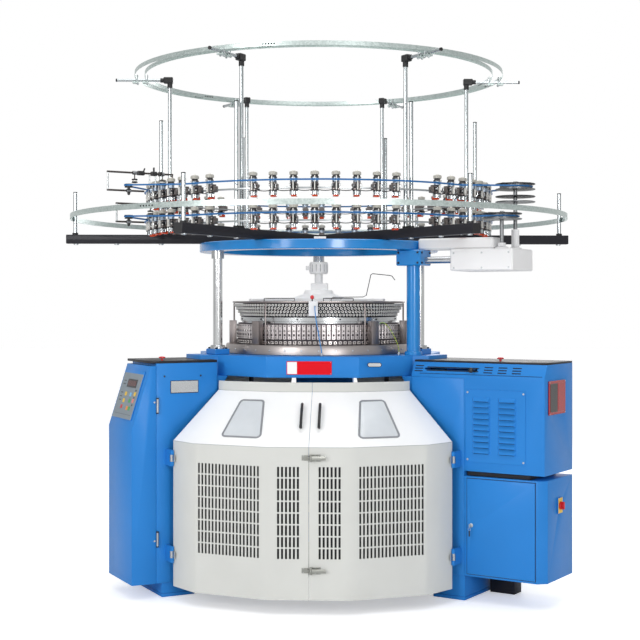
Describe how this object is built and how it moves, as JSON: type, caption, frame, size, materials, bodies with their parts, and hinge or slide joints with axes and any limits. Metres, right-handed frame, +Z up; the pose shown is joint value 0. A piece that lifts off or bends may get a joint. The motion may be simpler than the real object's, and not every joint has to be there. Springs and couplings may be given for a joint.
{
  "type": "circular knitting machine",
  "caption": "Large-diameter circular knitting machine: three-legged base with hinged guards and cabinets, rotating needle cylinder, belt-driven yarn feeders and ring-shaped creel above.",
  "frame": {"origin": "on the floor, on the axis of the needle cylinder", "axes": "+Z up along the cylinder axis; the split of the two front gate leaves faces -Y; the electrical cabinet stands towards +X"},
  "size_m": [3.2336, 3.1872, 3.2153],
  "materials": {
    "blue_paint": "semi-gloss blue enamel",
    "crown_paint": "semi-gloss blue enamel",
    "grey_paint": "satin light grey enamel",
    "white_paint": "satin white enamel",
    "black_paint": "satin black enamel",
    "dark_steel": "oiled, dark",
    "bright_steel": "ground and polished",
    "galvanised": "galvanised",
    "tube_chrome": "polished",
    "cast_alloy": "cast and machined",
    "cam_alloy": "machined",
    "clear_pane": "clear acrylic",
    "tinted_pane": "tinted",
    "grey_plastic": "moulded",
    "black_plastic": "moulded",
    "red_plastic": "glossy",
    "blue_tape": "woven tape, coated",
    "black_rubber": "toothed belt",
    "zinc_plate": "zinc plated"
  },
  "bodies": {
    "machine": {"legs": "blue_paint", "foot_plates": "black_paint", "floor_base": "dark_steel", "bed": "blue_paint", "saddle_ring": "bright_steel", "cam_box": "cam_alloy", "sinker_ring": "bright_steel", "yarn_guide_ring": "dark_steel", "head_brackets": "cast_alloy", "bearings": "bright_steel", "motor": "dark_steel", "columns": "tube_chrome", "crown_ring": "crown_paint", "drive_column": "crown_paint", "gearbox": "white_paint", "creel_beams": "black_paint", "creel_tubes": "galvanised", "creel_hoop": "galvanised", "arm_fittings": "black_plastic", "top_hoops": "galvanised", "feeder_rails": "dark_steel", "yarn_feeders": "cast_alloy", "drive_tapes": "blue_tape", "drive_belt": "black_rubber", "blower_stand": "white_paint", "rear_guards": "grey_paint", "gate_hinges": "zinc_plate", "leg_covers": "blue_paint", "top_plates": "black_paint", "housing_right": "blue_paint", "louvre_panel": "blue_paint", "side_window": "tinted_pane", "electrical_cabinet": "blue_paint", "switch_gear": "grey_plastic"},
    "cylinder": {"needle_cylinder": "bright_steel", "ring_gear": "bright_steel", "takedown_frame": "dark_steel"},
    "takedown_roller_front": {"takedown_roller_front": "black_rubber"},
    "takedown_roller_rear": {"takedown_roller_rear": "black_rubber"},
    "cloth_roll_shaft": {"cloth_roll_shaft": "zinc_plate"},
    "pinion_shaft": {"pinion_shaft": "bright_steel"},
    "motor_pulley": {"motor_pulley": "dark_steel"},
    "drive_pulley_lower": {"drive_pulley_lower": "dark_steel"},
    "drive_pulley_upper": {"drive_pulley_upper": "dark_steel"},
    "idler_lower": {"idler_lower": "blue_tape"},
    "idler_upper": {"idler_upper": "blue_tape"},
    "blower_head": {"blower_head": "white_paint"},
    "gate_right": {"gate_right": "grey_paint", "pane_right": "clear_pane"},
    "gate_left": {"gate_left": "grey_paint", "pane_left": "clear_pane"},
    "latch_upper": {"latch_upper": "zinc_plate"},
    "latch_lower": {"latch_lower": "zinc_plate"},
    "console": {"console": "blue_paint"},
    "cabinet_door": {"cabinet_door": "blue_paint"},
    "door_lock": {"door_lock": "zinc_plate"},
    "main_switch": {"main_switch": "red_plastic"},
    "slider_knob": {"slider_knob": "black_plastic"},
    "stop_button_left": {"stop_button_left": "red_plastic"},
    "stop_button_right": {"stop_button_right": "red_plastic"}
  },
  "joints": [
    {"name": "cylinder_spin", "type": "hinge", "parent": "machine", "child": "cylinder", "pos_m": [0, 0, 1.44], "axis": [0, 0, 1], "continuous": true},
    {"name": "roller_front_spin", "type": "hinge", "parent": "cylinder", "child": "takedown_roller_front", "pos_m": [0, -0.031, 0.7], "axis": [1, 0, 0], "continuous": true},
    {"name": "roller_rear_spin", "type": "hinge", "parent": "cylinder", "child": "takedown_roller_rear", "pos_m": [0, 0.031, 0.7], "axis": [1, 0, 0], "continuous": true},
    {"name": "cloth_roll_spin", "type": "hinge", "parent": "cylinder", "child": "cloth_roll_shaft", "pos_m": [0, 0, 0.42], "axis": [1, 0, 0], "continuous": true},
    {"name": "pinion_spin", "type": "hinge", "parent": "machine", "child": "pinion_shaft", "pos_m": [0.5233, -0.30212, 1.36], "axis": [0, 0, 1], "continuous": true},
    {"name": "motor_spin", "type": "hinge", "parent": "machine", "child": "motor_pulley", "pos_m": [1.09292, -0.631, 1.326], "axis": [0, 0, 1], "continuous": true},
    {"name": "drive_pulley_lower_spin", "type": "hinge", "parent": "machine", "child": "drive_pulley_lower", "pos_m": [1.1198, -0.6542, 2.262], "axis": [0, 0, 1], "continuous": true},
    {"name": "drive_pulley_upper_spin", "type": "hinge", "parent": "machine", "child": "drive_pulley_upper", "pos_m": [1.21098, -0.53803, 2.447], "axis": [0, 0, 1], "continuous": true},
    {"name": "idler_lower_spin", "type": "hinge", "parent": "machine", "child": "idler_lower", "pos_m": [-1.09213, -0.75905, 2.262], "axis": [0, 0, 1], "continuous": true},
    {"name": "idler_upper_spin", "type": "hinge", "parent": "machine", "child": "idler_upper", "pos_m": [-1.09213, -0.75905, 2.447], "axis": [0, 0, 1], "continuous": true},
    {"name": "blower_spin", "type": "hinge", "parent": "machine", "child": "blower_head", "pos_m": [0, 0, 1.9], "axis": [0, 0, 1], "continuous": true},
    {"name": "gate_right_hinge", "type": "hinge", "parent": "machine", "child": "gate_right", "pos_m": [0.82668, -0.81215, 0.55], "axis": [0, 0, 1], "range_deg": [0, 85]},
    {"name": "gate_left_hinge", "type": "hinge", "parent": "machine", "child": "gate_left", "pos_m": [-0.82668, -0.81215, 0.55], "axis": [0, 0, -1], "range_deg": [0, 85]},
    {"name": "latch_upper_turn", "type": "hinge", "parent": "gate_right", "child": "latch_upper", "pos_m": [0.012, -1.162, 0.88], "axis": [0, 0, -1], "range_deg": [0, 110]},
    {"name": "latch_lower_turn", "type": "hinge", "parent": "gate_right", "child": "latch_lower", "pos_m": [0.012, -1.162, 0.248], "axis": [0, 0, -1], "range_deg": [0, 110]},
    {"name": "console_hinge", "type": "hinge", "parent": "machine", "child": "console", "pos_m": [-0.92383, -0.77817, 0.73], "axis": [0, 0, 1], "range_deg": [0, 45]},
    {"name": "cabinet_door_hinge", "type": "hinge", "parent": "machine", "child": "cabinet_door", "pos_m": [1.27842, -0.98671, 0.44], "axis": [0, 0, 1], "range_deg": [0, 110]},
    {"name": "door_lock_turn", "type": "hinge", "parent": "cabinet_door", "child": "door_lock", "pos_m": [0.93023, -0.78879, 0.45], "axis": [-0.5, -0.866, 0], "range_deg": [0, 90]},
    {"name": "main_switch_turn", "type": "hinge", "parent": "machine", "child": "main_switch", "pos_m": [1.44193, -0.8325, 0.577], "axis": [0.866, -0.5, 0], "range_deg": [0, 90]},
    {"name": "speed_slider", "type": "slide", "parent": "machine", "child": "slider_knob", "axis": [-0.866, 0.5, 0], "range_m": [0, 0.3]},
    {"name": "stop_left_press", "type": "slide", "parent": "machine", "child": "stop_button_left", "axis": [0, 0, -1], "range_m": [0, 0.006], "stiffness_N_per_m": 2000},
    {"name": "stop_right_press", "type": "slide", "parent": "machine", "child": "stop_button_right", "axis": [0, 0, -1], "range_m": [0, 0.006], "stiffness_N_per_m": 2000}
  ],
  "couplings": [
    {"joint": "pinion_spin", "follows": "cylinder_spin", "ratio": -4},
    {"joint": "motor_spin", "follows": "cylinder_spin", "ratio": -5.3333},
    {"joint": "drive_pulley_lower_spin", "follows": "cylinder_spin", "ratio": 3},
    {"joint": "drive_pulley_upper_spin", "follows": "cylinder_spin", "ratio": 3},
    {"joint": "idler_lower_spin", "follows": "cylinder_spin", "ratio": 11.419},
    {"joint": "idler_upper_spin", "follows": "cylinder_spin", "ratio": 11.419},
    {"joint": "roller_rear_spin", "follows": "roller_front_spin", "ratio": -1}
  ]
}
